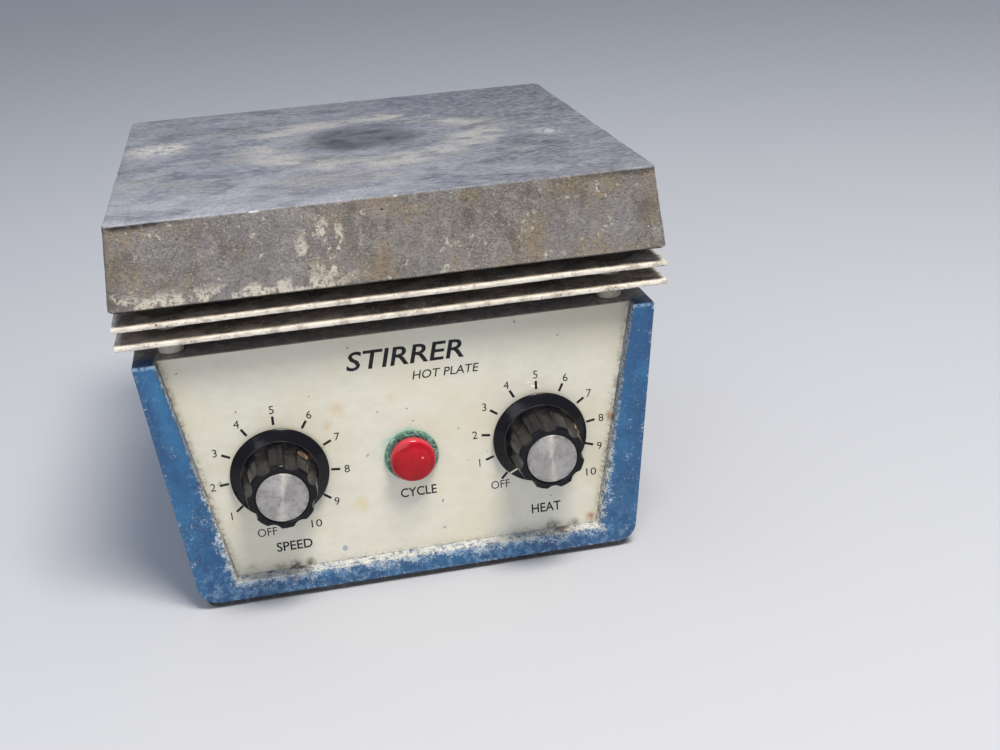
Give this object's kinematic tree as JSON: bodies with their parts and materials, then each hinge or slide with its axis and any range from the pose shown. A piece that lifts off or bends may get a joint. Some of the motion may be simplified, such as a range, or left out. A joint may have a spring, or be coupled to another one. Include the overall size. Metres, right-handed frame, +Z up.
{
  "type": "magnetic stirrer",
  "caption": "Benchtop magnetic stirrer with a square cast hot plate over heat shield boards, and a tapered case with speed and heat knobs and a pilot lamp.",
  "frame": {"origin": "middle of the footprint's box, on the bench under the feet", "axes": "+Z up to the hot plate, -Y towards the front panel and the user, +X to the user's right"},
  "size_m": [0.178, 0.1912, 0.1355],
  "materials": {
    "cast_aluminium": "rough cast, weathered grey",
    "sheath_steel": "heat-tinted tube",
    "shield_board": "pressed mineral fibre board, off-white and sooty",
    "steatite": "unglazed white ceramic",
    "plated_steel": "zinc plated",
    "blue_paint": "worn semi-gloss blue on cast aluminium",
    "cream_enamel": "aged semi-gloss cream enamel",
    "black_paint": "black baked paint",
    "rubber": "matt moulded rubber",
    "phenolic": "gloss black phenolic",
    "spun_aluminium": "radially spun",
    "brass": "turned brass",
    "corroded_brass": "brass with green corrosion",
    "red_lens": "translucent red plastic",
    "control_moulding": "brown phenolic moulding",
    "winding_tape": "taped winding",
    "lamination_steel": "stacked laminations",
    "sintered_bronze": "oiled sintered bronze",
    "alnico": "ground cast magnet alloy"
  },
  "bodies": {
    "root": {"base_plate": "black_paint", "base_screw_front_left": "plated_steel", "base_screw_front_right": "plated_steel", "base_screw_rear_left": "plated_steel", "base_screw_rear_right": "plated_steel", "case_shell": "blue_paint", "clamp_screw": "plated_steel", "cord_bushing": "rubber", "element_clamp": "plated_steel", "foot_front_left": "rubber", "foot_front_right": "rubber", "foot_rear_left": "rubber", "foot_rear_right": "rubber", "front_panel": "cream_enamel", "heat_control": "control_moulding", "heat_control_nut": "plated_steel", "heating_element": "sheath_steel", "hot_plate": "cast_aluminium", "lamp_bezel": "corroded_brass", "lamp_body": "control_moulding", "lamp_lens": "red_lens", "lower_bearing": "sintered_bronze", "lower_bridge": "cast_aluminium", "lower_heat_shield": "shield_board", "motor_bracket": "plated_steel", "plate_stud_front_left": "plated_steel", "plate_stud_front_right": "plated_steel", "plate_stud_rear_left": "plated_steel", "plate_stud_rear_right": "plated_steel", "spacer_lower_front_left": "steatite", "spacer_lower_front_right": "steatite", "spacer_lower_rear_left": "steatite", "spacer_lower_rear_right": "steatite", "spacer_upper_front_left": "steatite", "spacer_upper_front_right": "steatite", "spacer_upper_rear_left": "steatite", "spacer_upper_rear_right": "steatite", "speed_control": "control_moulding", "speed_control_nut": "plated_steel", "stator_coil": "winding_tape", "stator_core": "lamination_steel", "stud_nut_front_left": "plated_steel", "stud_nut_front_right": "plated_steel", "stud_nut_rear_left": "plated_steel", "stud_nut_rear_right": "plated_steel", "upper_bearing": "sintered_bronze", "upper_bridge": "cast_aluminium", "upper_heat_shield": "shield_board"},
    "speed_dial": {"speed_knob": "phenolic", "speed_knob_inlay": "spun_aluminium", "speed_shaft": "plated_steel", "speed_set_screw": "brass"},
    "heat_dial": {"heat_knob": "phenolic", "heat_knob_inlay": "spun_aluminium", "heat_shaft": "plated_steel", "heat_set_screw": "brass"},
    "stirring_rotor": {"motor_rotor": "lamination_steel", "motor_shaft": "plated_steel", "magnet_carrier": "plated_steel", "drive_magnet": "alnico"}
  },
  "joints": [
    {"name": "speed_turn", "type": "hinge", "parent": "root", "child": "speed_dial", "pos_m": [-0.04411, -0.0754, 0.0454], "axis": [0, 1, 0], "range_deg": [0, 320]},
    {"name": "heat_turn", "type": "hinge", "parent": "root", "child": "heat_dial", "pos_m": [0.04411, -0.0754, 0.0454], "axis": [0, 1, 0], "range_deg": [0, 272]},
    {"name": "rotor_spin", "type": "hinge", "parent": "root", "child": "stirring_rotor", "pos_m": [0, 0.0066, 0.04], "axis": [0, 0, 1], "continuous": true}
  ]
}
